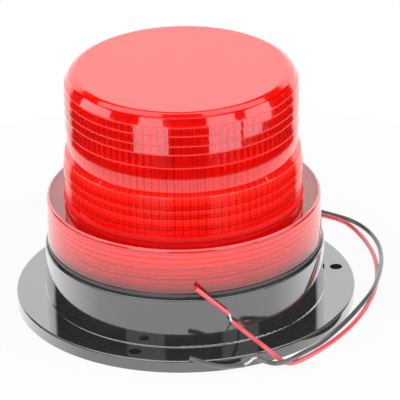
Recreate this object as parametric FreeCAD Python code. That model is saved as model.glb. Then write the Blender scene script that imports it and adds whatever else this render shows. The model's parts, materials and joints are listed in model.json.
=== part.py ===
"""Flange-mounted warning light: black base, screw-on red lens, flash lamp inside, two loose leads.

Millimetres. Z is the axis of the light and the origin is the middle of its underside, on the floor.
Each function makes one piece, and the last section writes every piece to its own file.
"""
import FreeCAD
import Part
import math
import os

Vector = FreeCAD.Vector
AXIS = Vector(0, 0, 1)
CENTRE = Vector(0, 0, 0)

# Base housing: drum and flange
drum_foot_radius = 67.8
drum_draft = 0.3            # the drum narrows by this from foot to top
drum_height = 24.6
drum_wall = 2.6
drum_edge_round = 0.6
shoulder_thickness = 2.6
flange_width = 14.4         # from the drum's foot to the rim
flange_plate = 2.5          # plate over the hollow underside
flange_edge_round = 0.8
rim_width = 3.0             # ring that stands on the floor
foot_ring_width = 2.4       # second ring, under the drum wall
rib_count = 12
rib_thickness = 1.8
rib_lift = 0.5              # ribs stop short of the floor

# Mounting holes
hole_count = 3
hole_radius = 3.0
hole_boss_wall = 2.8
first_hole_angle = 11.0

# Screw thread between lens and neck
thread_pitch = 2.6
thread_ridge = 1.2          # ridge height
thread_root_width = 1.2
thread_crest_width = 0.5
thread_clearance = 0.4      # crest to root
thread_margin = 0.9         # plain length beyond either end of a thread
thread_sink = 0.4           # ridge root buried in its wall

# Neck that carries the lens
neck_height = 12.9          # above the shoulder
neck_wall = 2.6
neck_edge_round = 0.5

# Gasket
gasket_height = 3.3
gasket_clearance = 0.3      # round the neck
gasket_seat_width = 3.6     # flat foot on the shoulder
gasket_lip_gap = 0.55       # open gap under the lip
gasket_lip_reach = 0.3      # lip proud of the collar

# Lens: collar
collar_step = 1.1           # collar set in from the drum's top
collar_height = 22.1
collar_draft = 0.4
collar_wall = 2.5
collar_edge_round = 0.9
ring_width = 9.0            # flat ring from collar to dome
ring_thickness = 2.6

# Lens: dome, from the ring upwards
dome_foot_round = 0.8
lower_bands = (6.0, 5.8, 4.7, 6.0)
dome_draft = 0.3            # over the lower bands
ledge_depth = 1.6
ledge_height = 2.15
waist_height = 13.0
waist_rise = 0.6
waist_bulge = 0.5
upper_bands = (6.8, 4.55, 5.1, 4.35)
upper_rise = 0.3            # over the upper bands
band_bulge = 0.3
bevel_height = 4.2
bevel_depth = 2.4
top_rim_height = 1.65
top_rim_depth = 2.7
top_rim_round = 2.0
cap_thickness = 2.6
dome_wall = 1.5             # least wall, at the foot of the waist
flute_count = 96
flute_depth = 0.8
flute_crest_flat = 0.05
flute_foot = 1.7            # plain wall below the flutes

# Circuit board and its fixings
board_gap = 3.7             # board edge to the neck's bore
board_thickness = 1.6
board_boss_count = 4
board_boss_height = 5.0
board_boss_radius = 3.4
board_screw_inset = 6.0
first_board_screw_angle = 45.0
board_screw_length = 5.2
screw_radius = 1.25
screw_hole_radius = 1.6
screw_pilot_radius = 1.35
screw_pilot_extra = 0.6     # pilot hole deeper than the screw
screw_head_radius = 2.7
screw_head_height = 1.9
screw_head_round = 0.6
screw_slot_width = 0.8
screw_slot_depth = 0.8

# Reflector deck on its pillars
deck_gap = 0.4              # deck edge to the neck's bore
deck_thickness = 1.6
deck_lip_width = 1.4
deck_lip_height = 1.2
deck_lip_round = 0.3
pillar_count = 3
pillar_radius = 3.0
pillar_inset = 10.0
first_pillar_angle = 90.0
deck_screw_length = 7.5

# Flash lamp on the deck
holder_foot_radius = 14.5
holder_foot_height = 3.0
holder_radius = 12.0
holder_height = 11.0        # above its foot
holder_round = 0.8
socket_depth = 8.0
socket_clearance = 0.15
tube_radius = 3.0
tube_wall = 0.7
tube_spacing = 17.0         # between the two legs
tube_leg = 34.0             # straight length of a leg
electrode_length = 7.0
electrode_clearance = 0.1
pin_radius = 0.6
pin_hole_clearance = 0.15
pin_below_deck = 3.0
trigger_wire_radius = 0.3
trigger_band_gap = 0.1      # bands round the tube
trigger_band_depth = 0.9
trigger_band_height = 0.8
trigger_band_count = 4
trigger_band_spacing = 6.0
first_trigger_band = 6.0    # above the holder

# Parts on the board; places are shares of the board's radius
capacitor_radius = 11.0
capacitor_headroom = 3.5    # below the deck
capacitor_round = 1.2
capacitor_place = (-0.50, 0.20)
core_length = 26.0
core_depth = 8.0
core_height = 21.0
core_limb = 4.0
core_place = (0.32, -0.46)
bobbin_wall = 0.8
bobbin_clearance = 0.2
winding_step = 0.8          # winding below the rims of its bobbin
heat_sink_length = 24.0
heat_sink_height = 22.0
heat_sink_plate = 2.5
fin_count = 5
fin_thickness = 1.5
fin_length = 9.0
heat_sink_place = (0.52, 0.30)
transistor_width = 10.0
transistor_depth = 4.5
transistor_height = 9.0
transistor_tab = 1.3
transistor_tab_height = 6.0
transistor_leg = 5.0
transistor_leg_pitch = 2.54
transistor_leg_width = 0.8
trigger_coil_radius = 5.5
trigger_coil_height = 14.0
trigger_coil_flange = 1.0
trigger_coil_step = 0.7     # winding below the flanges
trigger_coil_place = (-0.05, -0.48)
film_length = 13.0
film_depth = 6.0
film_height = 11.0
film_round = 0.75
film_places = ((-0.42, -0.30), (-0.32, -0.60))
resistor_radius = 1.2
resistor_length = 6.5
resistor_places = ((0.0, -0.22), (0.0, -0.11), (0.0, 0.0), (0.0, 0.11))
diode_radius = 1.35
diode_length = 5.0
diode_places = ((-0.25, 0.56), (-0.25, 0.66), (-0.25, 0.76))
axial_lead_radius = 0.35
axial_lead_reach = 1.8      # lead beyond each end of the barrel
axial_lift = 0.3            # barrel above the board

# Leads and their way out
lead_diameter = 2.3
conductor_diameter = 1.2
sleeve_clearance = 0.2      # bore of an end sleeve round the conductor
lead_spacing = 3.0          # between the two leads in the notch
lead_floor_gap = 0.2
lead_headroom = 1.0         # over the leads, under the plate
exit_angle = 71.0           # half-way between two mounting holes
notch_clearance = 0.65      # beside the leads in the notch
grommet_circle = 30.0
grommet_clearance = 1.55    # round the pair of leads, which bend here
grommet_wall = 1.4
grommet_lip = 1.6
grommet_lip_thickness = 0.6
conductor_straight = 1.6    # bare strands straight at either end
conductor_grip = 3.0        # strands inside the end sleeve
arc_share = 0.45            # share of a run that an arc may take

# Routes of the loose leads on the floor, after the exit; the last point is the end of the insulation
black_route = [
    (28.01, 85.95, 1.35), (34.0, 93.5, 1.3), (43.5, 97.8, 1.3), (56.0, 94.5, 1.3),
    (70.2, 84.8, 1.3), (83.4, 76.0, 1.3), (91.5, 63.8, 1.3), (95.8, 49.8, 1.3),
    (96.9, 35.3, 1.6), (96.2, 20.7, 3.3), (94.2, 6.3, 4.15), (91.0, -7.8, 4.2),
    (85.1, -21.2, 3.5), (77.9, -33.9, 1.7), (70.7, -46.6, 1.35), (63.8, -59.1, 2.0),
    (55.5, -71.0, 3.8), (49.1, -79.5, 4.3), (43.7, -83.2, 4.3), (38.1, -83.4, 4.9),
    (33.3, -81.1, 6.5)]
red_route = [
    (30.85, 84.98, 1.35), (36.7, 90.4, 1.3), (45.2, 93.6, 1.3), (55.3, 90.9, 1.3),
    (67.2, 83.1, 1.3), (78.4, 76.3, 1.3), (84.2, 67.0, 1.3), (89.2, 53.7, 1.3),
    (92.7, 39.5, 1.3), (94.1, 25.0, 1.3), (93.8, 10.5, 1.3), (91.8, -4.0, 1.3),
    (88.1, -18.0, 1.3), (83.1, -31.7, 1.3), (76.7, -44.8, 1.3), (68.9, -57.0, 1.3),
    (60.4, -67.8, 1.3), (52.4, -76.1, 1.3), (47.1, -78.7, 1.8), (42.4, -79.2, 5.5),
    (37.3, -75.9, 9.2), (29.6, -69.8, 12.8), (21.9, -66.4, 18.3)]
# Sleeves at the stripped ends, from the bare strands to the tip
black_sleeve = [
    (26.8, -80.9, 2.8), (19.8, -81.9, 2.5), (13.2, -83.1, 3.8), (6.9, -83.6, 6.3), (1.5, -81.9, 7.65)]
red_sleeve = [(20.0, -66.7, 23.0), (12.4, -68.0, 30.3), (4.8, -68.9, 37.6)]

# Sizes that follow from those above
lead_radius = lead_diameter / 2
lead_under_floor = lead_floor_gap + lead_radius
notch_width = lead_spacing + lead_diameter + 2 * notch_clearance
plate_under = lead_floor_gap + lead_diameter + lead_headroom
flange_height = plate_under + flange_plate
flange_radius = drum_foot_radius + flange_width
hole_circle_radius = drum_foot_radius + flange_width / 2
drum_top_radius = drum_foot_radius - drum_draft
drum_bore = drum_top_radius - drum_wall
drum_top = flange_height + drum_height
collar_foot_radius = drum_top_radius - collar_step
collar_top_radius = collar_foot_radius - collar_draft
collar_bore = collar_top_radius - collar_wall
collar_foot = drum_top + gasket_height
collar_top = collar_foot + collar_height
ring_under = collar_top - ring_thickness
neck_radius = collar_bore - thread_ridge - thread_clearance
neck_bore = neck_radius - neck_wall
neck_top = drum_top + neck_height
neck_thread_bottom = collar_foot + thread_margin
lens_thread_bottom = neck_thread_bottom + thread_pitch / 2
dome_foot_radius = collar_top_radius - ring_width
ledge_radius = dome_foot_radius - dome_draft
waist_radius = ledge_radius - ledge_depth
waist_top_radius = waist_radius + waist_rise
bevel_foot_radius = waist_top_radius + upper_rise
top_edge_radius = bevel_foot_radius - bevel_depth
flat_radius = top_edge_radius - top_rim_depth
ledge_top = collar_top + sum(lower_bands)
waist_foot = ledge_top + ledge_height
waist_top = waist_foot + waist_height
bevel_foot = waist_top + sum(upper_bands)
bevel_top = bevel_foot + bevel_height
lens_top = bevel_top + top_rim_height
flute_root = waist_radius - dome_wall
flute_crest = flute_root - flute_depth
board_radius = neck_bore - board_gap
board_under = flange_height + board_boss_height
board_top = board_under + board_thickness
board_screw_circle = board_radius - board_screw_inset
deck_radius = neck_bore - deck_gap
deck_top = neck_top
deck_under = deck_top - deck_thickness
pillar_circle = board_radius - pillar_inset
holder_top = deck_top + holder_foot_height + holder_height
socket_floor = holder_top - socket_depth
tube_leg_place = tube_spacing / 2
window_width = (core_length - 4 * core_limb) / 2
grommet_bore = lead_spacing / 2 + lead_radius + grommet_clearance
grommet_hole = grommet_bore + grommet_wall
pin_hole_radius = pin_radius + pin_hole_clearance


def at(point):
    """Point of a section: radius and height to the XZ plane."""
    return Vector(point[0], 0, point[1])


def polar(radius, degrees, z=0.0):
    angle = math.radians(degrees)
    return Vector(radius * math.cos(angle), radius * math.sin(angle), z)


def around(count, first):
    """Angles of evenly spaced copies, in degrees."""
    return [first + 360.0 * i / count for i in range(count)]


def line(start, end):
    return Part.LineSegment(start, end).toShape()


def bulged(start, end, height):
    """Arc of a section from start up to end, standing outwards by height at its middle."""
    along = Vector(end - start).normalize()
    outwards = Vector(along.z, 0, -along.x)
    middle = (start + end) * 0.5 + outwards * height
    return Part.Arc(start, middle, end).toShape()


def rounded(points, radii):
    """Open run of lines through points, each inner corner rounded to its radius, 0 for a sharp one."""
    edges = []
    last = points[0]
    for before, corner, after, radius in zip(points, points[1:], points[2:], radii):
        come = Vector(corner - before).normalize()
        leave = Vector(after - corner).normalize()
        half_turn = come.getAngle(leave) / 2
        if radius > 0:
            cut = radius * math.tan(half_turn)
            inwards = Vector(leave - come).normalize()
            middle = corner + inwards * (radius / math.cos(half_turn) - radius)
            start = corner - come * cut
            end = corner + leave * cut
            edges += [line(last, start), Part.Arc(start, middle, end).toShape()]
            last = end
        else:
            edges.append(line(last, corner))
            last = corner
    edges.append(line(last, points[-1]))
    return edges


def turned(edges):
    """Solid of revolution of a closed section."""
    return Part.Face(Part.Wire(edges)).revolve(CENTRE, AXIS, 360)


def turned_outline(corners):
    """Solid of revolution of a polygon given as radius, height and corner round."""
    points = [at(corner) for corner in corners]
    radii = [corner[2] for corner in corners[1:]] + [0]
    return turned(rounded(points + [points[0]], radii))


def rod(radius, start, end):
    return Part.makeCylinder(radius, (end - start).Length, start, end - start)


def upright(radius, place, bottom, top):
    return rod(radius, Vector(place.x, place.y, bottom), Vector(place.x, place.y, top))


def block(length, depth, bottom, top, place):
    """Upright box about a place, length along X."""
    corner = Vector(place.x - length / 2, place.y - depth / 2, bottom)
    return Part.makeBox(length, depth, top - bottom, corner)


def on_board(place):
    """Place on the board from its shares of the board's radius."""
    return Vector(place[0] * board_radius, place[1] * board_radius, 0)


def spread(make, places):
    """One node of separate like solids."""
    return Part.makeCompound([make(place) for place in places])


def screw(place, seat, length):
    """Pan-head screw with a slot, its head standing on the seat."""
    head = upright(screw_head_radius, place, seat, seat + screw_head_height)
    top_rim = [edge for edge in head.Edges if edge.BoundBox.ZMin > seat]
    head = head.makeFillet(screw_head_round, top_rim)
    slot = block(3 * screw_head_radius, screw_slot_width, seat + screw_head_height - screw_slot_depth,
                 seat + 2 * screw_head_height, place)
    return head.fuse(upright(screw_radius, place, seat - length, seat)).removeSplitter().cut(slot)


def thread(wall_radius, bottom, top, side):
    """Helical ridge on a round wall; side is +1 on the outside of a neck and -1 in a bore."""
    root = wall_radius - side * thread_sink
    crest = wall_radius + side * thread_ridge
    flare = thread_sink * (thread_root_width - thread_crest_width) / thread_ridge
    half_root = (thread_root_width + flare) / 2
    half_crest = thread_crest_width / 2
    section = Part.makePolygon([at((root, -half_root)), at((crest, -half_crest)), at((crest, half_crest)),
                                at((root, half_root)), at((root, -half_root))])
    helix = Part.makeHelix(thread_pitch, top - bottom, wall_radius)
    ridge = Part.Wire(helix).makePipeShell([section], True, True)
    ridge.translate(Vector(0, 0, bottom))
    return ridge


def route_edges(points):
    """Straight runs joined by tangent arcs, each as large as its shorter run allows, and their radii."""
    edges = []
    radii = []
    last = points[0]
    for before, corner, after in zip(points, points[1:], points[2:]):
        come = Vector(corner - before).normalize()
        leave = Vector(after - corner).normalize()
        half_turn = come.getAngle(leave) / 2
        cut = arc_share * min((corner - before).Length, (after - corner).Length)
        radius = cut / math.tan(half_turn)
        inwards = Vector(leave - come).normalize()
        middle = corner + inwards * (radius / math.cos(half_turn) - radius)
        start = corner - come * cut
        end = corner + leave * cut
        edges += [line(last, start), Part.Arc(start, middle, end).toShape()]
        radii.append(radius)
        last = end
    edges.append(line(last, points[-1]))
    return edges, radii


def swept(radius, points):
    """Round rod along a route."""
    edges = route_edges(points)[0]
    start = Part.Circle(points[0], points[1] - points[0], radius).toShape()
    return Part.Wire(edges).makePipeShell([Part.Wire(start)], True, False)


def base_housing():
    """Flange, drum, floor and threaded neck in one moulding, hollow and ribbed underneath."""
    rim_inside = flange_radius - rim_width
    body = turned_outline([
        (0, plate_under, 0), (rim_inside, plate_under, 0), (rim_inside, 0, 0), (flange_radius, 0, 0),
        (flange_radius, flange_height, flange_edge_round),
        (drum_foot_radius, flange_height, drum_edge_round),
        (drum_top_radius, drum_top, drum_edge_round), (neck_radius, drum_top, 0),
        (neck_radius, neck_top, neck_edge_round), (neck_bore, neck_top, neck_edge_round),
        (neck_bore, drum_top - shoulder_thickness, 0), (drum_bore, drum_top - shoulder_thickness, 0),
        (drum_bore, flange_height, 0), (0, flange_height, 0)])
    ring_inside = drum_foot_radius - foot_ring_width
    foot_ring = Part.makeCylinder(drum_foot_radius, plate_under)
    under = [foot_ring.cut(Part.makeCylinder(ring_inside, plate_under))]
    rib_step = 360.0 / rib_count
    rib_length = rim_inside - drum_foot_radius + rim_width / 2 + foot_ring_width / 2
    for angle in around(rib_count, exit_angle + rib_step / 2):
        start = Vector(drum_foot_radius - foot_ring_width / 2, -rib_thickness / 2, rib_lift)
        rib = Part.makeBox(rib_length, rib_thickness, plate_under - rib_lift, start)
        rib.rotate(CENTRE, AXIS, angle)
        under.append(rib)
    holes = []
    for angle in around(hole_count, first_hole_angle):
        place = polar(hole_circle_radius, angle)
        under.append(upright(hole_radius + hole_boss_wall, place, 0, plate_under))
        holes.append(upright(hole_radius, place, -flange_height, 2 * flange_height))
    for place in board_screw_places():
        under.append(upright(board_boss_radius, place, flange_height, board_under))
        pilot_end = board_top - board_screw_length - screw_pilot_extra
        holes.append(upright(screw_pilot_radius, place, pilot_end, board_top))
    notch_corner = Vector(grommet_circle, -notch_width / 2, 0)
    notch = Part.makeBox(flange_radius, notch_width, plate_under, notch_corner)
    notch.rotate(CENTRE, AXIS, exit_angle)
    holes.append(notch)
    holes.append(upright(grommet_hole, grommet_place(), 0, drum_top))
    body = body.multiFuse(under).removeSplitter()
    for hole in holes:
        body = body.cut(hole)
    return body.fuse(thread(neck_radius, neck_thread_bottom, neck_top - thread_margin, 1))


def lens():
    """Threaded collar, flat ring and banded dome, with upright flutes inside the dome."""
    outline = rounded(
        [at((collar_bore, collar_foot)), at((collar_foot_radius, collar_foot)),
         at((collar_top_radius, collar_top)), at((dome_foot_radius, collar_top)),
         at((dome_foot_radius, collar_top + 2 * dome_foot_round))],
        [0, collar_edge_round, dome_foot_round])
    spot = at((dome_foot_radius, collar_top + 2 * dome_foot_round))
    height = collar_top
    for band in lower_bands:
        height += band
        radius = dome_foot_radius - dome_draft * (height - collar_top) / sum(lower_bands)
        outline.append(bulged(spot, at((radius, height)), band_bulge))
        spot = at((radius, height))
    outline.append(line(spot, at((waist_radius, waist_foot))))
    outline.append(bulged(at((waist_radius, waist_foot)), at((waist_top_radius, waist_top)), waist_bulge))
    spot = at((waist_top_radius, waist_top))
    height = waist_top
    for band in upper_bands:
        height += band
        radius = waist_top_radius + upper_rise * (height - waist_top) / sum(upper_bands)
        outline.append(bulged(spot, at((radius, height)), band_bulge))
        spot = at((radius, height))
    outline += rounded(
        [spot, at((top_edge_radius, bevel_top)), at((flat_radius, lens_top)), at((0, lens_top))],
        [0, top_rim_round])
    cap_under = lens_top - cap_thickness
    inside = [
        at((0, lens_top)), at((0, cap_under)), at((flute_crest, cap_under)),
        at((flute_crest, ring_under)), at((collar_bore, ring_under)), at((collar_bore, collar_foot))]
    outline += rounded(inside, [0, cap_thickness / 2, 0, 0])
    shell = turned(outline)
    step = 180.0 / flute_count
    flute_radii = (flute_crest - flute_crest_flat, flute_root)
    flute_foot_height = collar_top + flute_foot
    star = [polar(flute_radii[i % 2], i * step, flute_foot_height) for i in range(2 * flute_count)]
    star.append(star[0])
    flutes = Part.Face(Part.makePolygon(star)).extrude(AXIS * (bevel_foot - flute_foot_height))
    ridge = thread(collar_bore, lens_thread_bottom, ring_under - thread_margin, -1)
    return shell.cut(flutes).fuse(ridge)


def lens_gasket():
    """Rubber ring on the shoulder, with a rounded lip that shows under the collar."""
    inside = neck_radius + gasket_clearance
    seat_edge = inside + gasket_seat_width
    lip = collar_foot_radius + gasket_lip_reach
    lip_under = drum_top + gasket_lip_gap
    lip_round = (collar_foot - lip_under) / 3
    return turned_outline([
        (inside, drum_top, 0), (seat_edge, drum_top, 0), (seat_edge, lip_under, 0),
        (lip, lip_under, lip_round), (lip, collar_foot, lip_round), (inside, collar_foot, 0)])


def board_screw_places():
    return [polar(board_screw_circle, angle) for angle in around(board_boss_count, first_board_screw_angle)]


def pillar_places():
    return [polar(pillar_circle, angle) for angle in around(pillar_count, first_pillar_angle)]


def grommet_place():
    return polar(grommet_circle, exit_angle)


def driver_board():
    board = Part.makeCylinder(board_radius, board_thickness, Vector(0, 0, board_under))
    holes = [upright(screw_hole_radius, place, board_under, board_top) for place in board_screw_places()]
    return board.cut(Part.makeCompound(holes))


def deck_pillar(place):
    pillar = upright(pillar_radius, place, board_top, deck_under)
    pilot_end = deck_top - deck_screw_length - screw_pilot_extra
    return pillar.cut(upright(screw_pilot_radius, place, pilot_end, deck_under))


def reflector_deck():
    """Pale disc with a low lip, level with the top of the neck."""
    lip_inside = deck_radius - deck_lip_width
    lip_top = deck_top + deck_lip_height
    deck = turned_outline([
        (0, deck_under, 0), (deck_radius, deck_under, 0), (deck_radius, lip_top, deck_lip_round),
        (lip_inside, lip_top, deck_lip_round), (lip_inside, deck_top, 0), (0, deck_top, 0)])
    holes = [upright(screw_hole_radius, place, deck_under, deck_top) for place in pillar_places()]
    holes += [upright(pin_hole_radius, place, deck_under, deck_top) for place in leg_places()]
    return deck.cut(Part.makeCompound(holes))


def leg_places():
    return [Vector(-tube_leg_place, 0, 0), Vector(tube_leg_place, 0, 0)]


def tube_holder():
    """Stepped ceramic foot with a socket for each leg of the tube."""
    foot_top = deck_top + holder_foot_height
    body = turned_outline([
        (0, deck_top, 0), (holder_foot_radius, deck_top, 0), (holder_foot_radius, foot_top, holder_round),
        (holder_radius, foot_top, holder_round), (holder_radius, holder_top, holder_round),
        (0, holder_top, 0)])
    socket_radius = tube_radius + socket_clearance
    holes = [upright(socket_radius, place, socket_floor, holder_top) for place in leg_places()]
    holes += [upright(pin_hole_radius, place, deck_top, holder_top) for place in leg_places()]
    return body.cut(Part.makeCompound(holes))


def bent_tube(radius):
    """Rod in the shape of the lamp: two legs and a half-circle."""
    left, right = leg_places()
    bend = socket_floor + tube_leg
    lift = Vector(0, 0, bend)
    path = [line(left + Vector(0, 0, socket_floor), left + lift),
            Part.Arc(left + lift, Vector(0, 0, bend + tube_leg_place), right + lift).toShape(),
            line(right + lift, right + Vector(0, 0, socket_floor))]
    start = Part.Circle(left + Vector(0, 0, socket_floor), AXIS, radius).toShape()
    return Part.Wire(path).makePipeShell([Part.Wire(start)], True, False)


def flash_tube():
    return bent_tube(tube_radius).cut(bent_tube(tube_radius - tube_wall))


def tube_electrode(place):
    """Plug in the end of a leg, with its pin down through holder and deck."""
    plug_radius = tube_radius - tube_wall - electrode_clearance
    plug = upright(plug_radius, place, socket_floor, socket_floor + electrode_length)
    return plug.fuse(upright(pin_radius, place, deck_under - pin_below_deck, socket_floor)).removeSplitter()


def trigger_wire():
    """Fine wire up one leg of the lamp, held to it by narrow bands."""
    leg = leg_places()[1]
    inside = tube_radius + trigger_band_gap
    outside = inside + trigger_band_depth
    bands = []
    for i in range(trigger_band_count):
        bottom = holder_top + first_trigger_band + i * trigger_band_spacing
        top = bottom + trigger_band_height
        bands.append(upright(outside, leg, bottom, top).cut(upright(inside, leg, bottom, top)))
    wire_place = leg + Vector((inside + outside) / 2, 0, 0)
    riser = upright(trigger_wire_radius, wire_place, holder_top, bottom + trigger_band_height / 2)
    return riser.multiFuse(bands)


def storage_capacitor():
    can = upright(capacitor_radius, on_board(capacitor_place), board_top, deck_under - capacitor_headroom)
    top_rim = [edge for edge in can.Edges if edge.BoundBox.ZMin > board_top + capacitor_round]
    return can.makeFillet(capacitor_round, top_rim)


def transformer_core():
    """Ferrite frame with two windows and a middle limb."""
    place = on_board(core_place)
    core = block(core_length, core_depth, board_top, board_top + core_height, place)
    window_foot = board_top + core_limb
    window_top = board_top + core_height - core_limb
    for side in (-1, 1):
        window_place = place + Vector(side * (core_limb + window_width / 2), 0, 0)
        core = core.cut(block(window_width, core_depth, window_foot, window_top, window_place))
    return core


def round_limb(offset, bottom, top):
    """Upright block round the core's middle limb, standing off it by offset."""
    return block(2 * (core_limb + offset), core_depth + 2 * offset, bottom, top, on_board(core_place))


def bobbin_ends():
    bottom = board_top + core_limb + bobbin_clearance
    return bottom, board_top + core_height - core_limb - bobbin_clearance


def transformer_bobbin():
    """Spool on the middle limb, with a flange at either end that just fits the windows."""
    bottom, top = bobbin_ends()
    reach = window_width - bobbin_clearance
    spool = round_limb(bobbin_clearance + bobbin_wall, bottom, top)
    flanges = [round_limb(reach, bottom, bottom + bobbin_wall), round_limb(reach, top - bobbin_wall, top)]
    return spool.multiFuse(flanges).removeSplitter().cut(round_limb(bobbin_clearance, bottom, top))


def transformer_winding():
    bottom, top = bobbin_ends()
    reach = window_width - bobbin_clearance - winding_step
    coil = round_limb(reach, bottom + bobbin_wall, top - bobbin_wall)
    return coil.cut(round_limb(bobbin_clearance + bobbin_wall, bottom, top))


def heat_sink_face():
    """Middle of the plate's mounting face, at board level."""
    return on_board(heat_sink_place)


def transistor_hole_height():
    return board_top + transistor_leg + transistor_height + transistor_tab_height / 2


def transistor_heat_sink():
    """Upright plate with fins on its outer side."""
    face = heat_sink_face()
    top = board_top + heat_sink_height
    plate_middle = face + Vector(heat_sink_plate / 2, 0, 0)
    sink = block(heat_sink_plate, heat_sink_length, board_top, top, plate_middle)
    step = (heat_sink_length - fin_thickness) / (fin_count - 1)
    for i in range(fin_count):
        y = -heat_sink_length / 2 + fin_thickness / 2 + i * step
        x = heat_sink_plate + fin_length / 2
        fin = block(fin_length, fin_thickness, board_top, top, face + Vector(x, y, 0))
        sink = sink.fuse(fin)
    hole_start = Vector(face.x, face.y, transistor_hole_height())
    hole_end = hole_start + Vector(heat_sink_plate, 0, 0)
    return sink.removeSplitter().cut(rod(screw_pilot_radius, hole_start, hole_end))


def switching_transistor():
    """Flat package on three legs, its metal tab against the heat sink."""
    face = heat_sink_face()
    body_foot = board_top + transistor_leg
    tab_top = body_foot + transistor_height + transistor_tab_height
    body = block(transistor_depth, transistor_width, body_foot, body_foot + transistor_height,
                 face - Vector(transistor_depth / 2, 0, 0))
    tab_middle = face - Vector(transistor_tab / 2, 0, 0)
    tab = block(transistor_tab, transistor_width, body_foot, tab_top, tab_middle)
    hole = Vector(face.x, face.y, transistor_hole_height())
    body = body.fuse(tab).cut(rod(screw_hole_radius, hole - Vector(transistor_depth, 0, 0), hole))
    for i in (-1, 0, 1):
        place = face + Vector(-transistor_depth / 2, i * transistor_leg_pitch, 0)
        body = body.fuse(block(transistor_leg_width, transistor_leg_width, board_top, body_foot, place))
    return body.removeSplitter()


def transistor_screw():
    """Screw through the tab into the heat sink, lying along X."""
    face = heat_sink_face()
    seat = Vector(face.x - transistor_tab, face.y, transistor_hole_height())
    head = rod(screw_head_radius, seat - Vector(screw_head_height, 0, 0), seat)
    tip = seat + Vector(transistor_tab + heat_sink_plate, 0, 0)
    return head.fuse(rod(screw_radius, seat, tip)).removeSplitter()


def trigger_coil():
    """Small wound spool standing on the board."""
    top = board_top + trigger_coil_height
    winding = trigger_coil_radius - trigger_coil_step
    spool = turned_outline([
        (0, board_top, 0), (trigger_coil_radius, board_top, 0),
        (trigger_coil_radius, board_top + trigger_coil_flange, 0),
        (winding, board_top + trigger_coil_flange, 0),
        (winding, top - trigger_coil_flange, 0),
        (trigger_coil_radius, top - trigger_coil_flange, 0), (trigger_coil_radius, top, 0), (0, top, 0)])
    spool.translate(on_board(trigger_coil_place))
    return spool


def board_screw(place):
    return screw(place, board_top, board_screw_length)


def deck_screw(place):
    return screw(place, deck_top, deck_screw_length)


def film_capacitor(place):
    box = block(film_length, film_depth, board_top, board_top + film_height, on_board(place))
    edges = [edge for edge in box.Edges if edge.BoundBox.ZMax > board_top]
    return box.makeFillet(film_round, edges)


def axial_part(place, radius, length):
    """Barrel lying along X on two bent leads."""
    middle = on_board(place) + Vector(0, 0, board_top + axial_lift + radius)
    half = Vector(length / 2, 0, 0)
    reach = Vector(length / 2 + axial_lead_reach, 0, 0)
    lead = rod(axial_lead_radius, middle - reach, middle + reach)
    body = rod(radius, middle - half, middle + half).fuse(lead)
    for foot in (middle - reach, middle + reach):
        body = body.fuse(upright(axial_lead_radius, foot, board_top, middle.z))
    return body.removeSplitter()


def resistor(place):
    return axial_part(place, resistor_radius, resistor_length)


def diode(place):
    return axial_part(place, diode_radius, diode_length)


def wire_grommet():
    """Rubber ring gripping the floor of the housing."""
    lip = grommet_hole + grommet_lip
    bottom = plate_under - grommet_lip_thickness
    top = flange_height + grommet_lip_thickness
    ring = turned_outline([
        (grommet_bore, bottom, 0), (lip, bottom, 0), (lip, plate_under, 0), (grommet_hole, plate_under, 0),
        (grommet_hole, flange_height, 0), (lip, flange_height, 0), (lip, top, 0), (grommet_bore, top, 0)])
    ring.translate(grommet_place())
    return ring


def lead_offset(side):
    """Half the spacing of the leads, across the notch."""
    return polar(side * lead_spacing / 2, exit_angle + 90.0)


def lead_mouth(side):
    return polar(flange_radius, exit_angle, lead_under_floor) + lead_offset(side)


def inner_lead(side):
    """Fixed run from the board down through the grommet and out along the notch."""
    place = grommet_place() + lead_offset(side)
    at_board = Vector(place.x, place.y, board_under)
    at_floor = Vector(place.x, place.y, lead_under_floor)
    return swept(lead_radius, [at_board, at_floor, lead_mouth(side)])


def loose_lead(name, side, route):
    """Insulated lead from the notch to where its insulation ends; prints its bends and a volume test."""
    points = [lead_mouth(side)] + [Vector(*point) for point in route]
    edges, radii = route_edges(points)
    length = sum(edge.Length for edge in edges)
    tube = swept(lead_radius, points)
    share = tube.Volume / (math.pi * lead_radius ** 2 * length)
    print(name, "length", round(length, 1), "volume share", round(share, 4))
    print("  radii", [round(radius, 1) for radius in radii])
    return tube


def conductor(route, sleeve):
    """Bare strands from the end of the insulation into the pulled-off sleeve."""
    end = Vector(*route[-1])
    lead_way = Vector(end - Vector(*route[-2])).normalize()
    mouth = Vector(*sleeve[0])
    sleeve_way = Vector(Vector(*sleeve[1]) - mouth).normalize()
    points = [end, end + lead_way * conductor_straight, mouth - sleeve_way * conductor_straight,
              mouth + sleeve_way * conductor_grip]
    return swept(conductor_diameter / 2, points)


def end_sleeve(sleeve):
    """Hollow cut end of insulation."""
    points = [Vector(*point) for point in sleeve]
    return swept(lead_radius, points).cut(swept(conductor_diameter / 2 + sleeve_clearance, points))


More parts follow.
